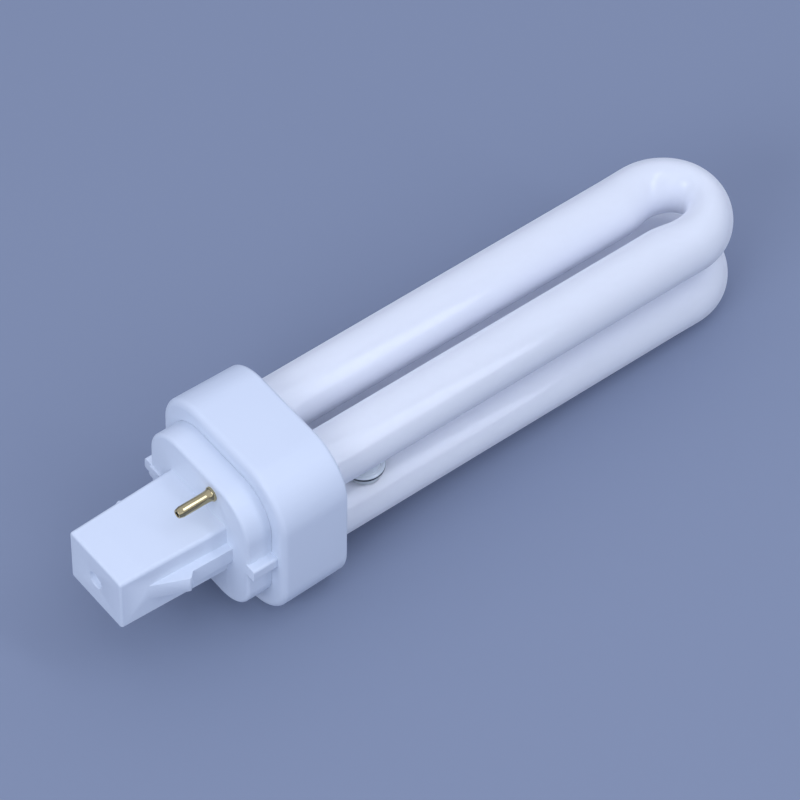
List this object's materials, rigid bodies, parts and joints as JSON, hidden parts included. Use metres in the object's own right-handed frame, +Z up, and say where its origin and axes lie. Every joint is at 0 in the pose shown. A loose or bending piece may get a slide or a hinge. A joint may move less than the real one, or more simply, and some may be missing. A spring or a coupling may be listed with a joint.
{
  "type": "plug-in compact fluorescent lamp",
  "caption": "Plug-in compact fluorescent lamp: white U-shaped glass tubes in a rounded-square housing, with a keyed collar, latching post and hollow brass contact pins.",
  "frame": {"origin": "centre of the collar's front face, at the post's root", "axes": "+X along the lamp from the cap to the tube bends, +Y across the tubes, +Z up as the lamp lies"},
  "size_m": [0.1388, 0.0348, 0.0348],
  "materials": {
    "coated_glass": "glossy glass over a white inner coat",
    "white_plastic": "satin moulded white",
    "pin_brass": "polished",
    "cement": "dull, grainy",
    "starter_glass": "clear",
    "capacitor_coat": "dipped, glossy",
    "lead_wire": "tinned"
  },
  "bodies": {
    "root": {"discharge_tube": "coated_glass", "tube_housing": "white_plastic", "pin_cap": "white_plastic", "upper_contact_pin": "pin_brass", "lower_contact_pin": "pin_brass", "tube_cement": "cement", "starter_bulb": "starter_glass", "starter_capacitor": "capacitor_coat", "upper_pin_lead": "lead_wire", "lower_pin_lead": "lead_wire", "upper_starter_lead": "lead_wire", "lower_starter_lead": "lead_wire"}
  },
  "joints": []
}
